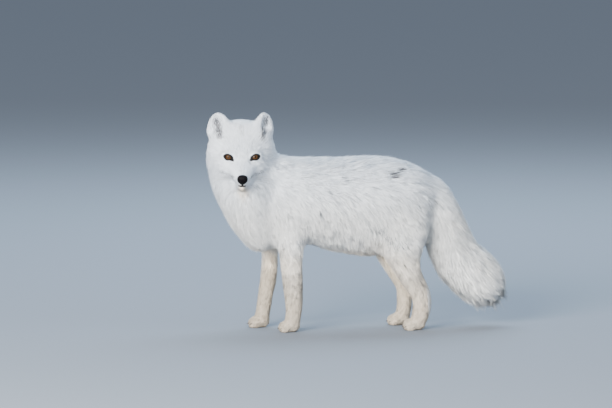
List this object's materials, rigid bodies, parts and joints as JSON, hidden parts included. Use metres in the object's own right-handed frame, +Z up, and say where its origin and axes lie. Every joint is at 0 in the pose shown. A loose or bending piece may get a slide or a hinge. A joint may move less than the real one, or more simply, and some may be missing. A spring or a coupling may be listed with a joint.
{
  "type": "arctic fox figure",
  "caption": "Life-size arctic fox in white winter coat, standing on four paws with its head turned to its left and its bushy tail hanging low.",
  "frame": {"origin": "on the floor, under the middle of the bounding box", "axes": "+X from the breast to the tail, +Y the animal's right side (its face turns towards -Y), +Z up"},
  "size_m": [0.5262, 0.1948, 0.3784],
  "materials": {
    "coat": "dense soft winter fur",
    "leg_coat": "short cream fur",
    "nose": "damp, finely pebbled bare skin",
    "claw": "smooth dark horn",
    "eye": "amber iris under a clear cornea"
  },
  "bodies": {
    "root": {"belly": "coat", "chest": "coat", "ear_left": "coat", "ear_right": "coat", "eye_left": "eye", "eye_right": "eye", "forearm_left": "leg_coat", "forearm_right": "leg_coat", "forepaw_left": "leg_coat", "forepaw_right": "leg_coat", "head": "coat", "hind_foot_left": "leg_coat", "hind_foot_right": "leg_coat", "hindpaw_left": "leg_coat", "hindpaw_right": "leg_coat", "lower_jaw": "coat", "muzzle": "coat", "neck": "coat", "nose_pad": "nose", "rump": "coat", "shank_left": "leg_coat", "shank_right": "leg_coat", "tail_brush": "coat", "tail_root": "coat", "thigh_left": "coat", "thigh_right": "coat", "upper_arm_left": "coat", "upper_arm_right": "coat"}
  },
  "joints": []
}
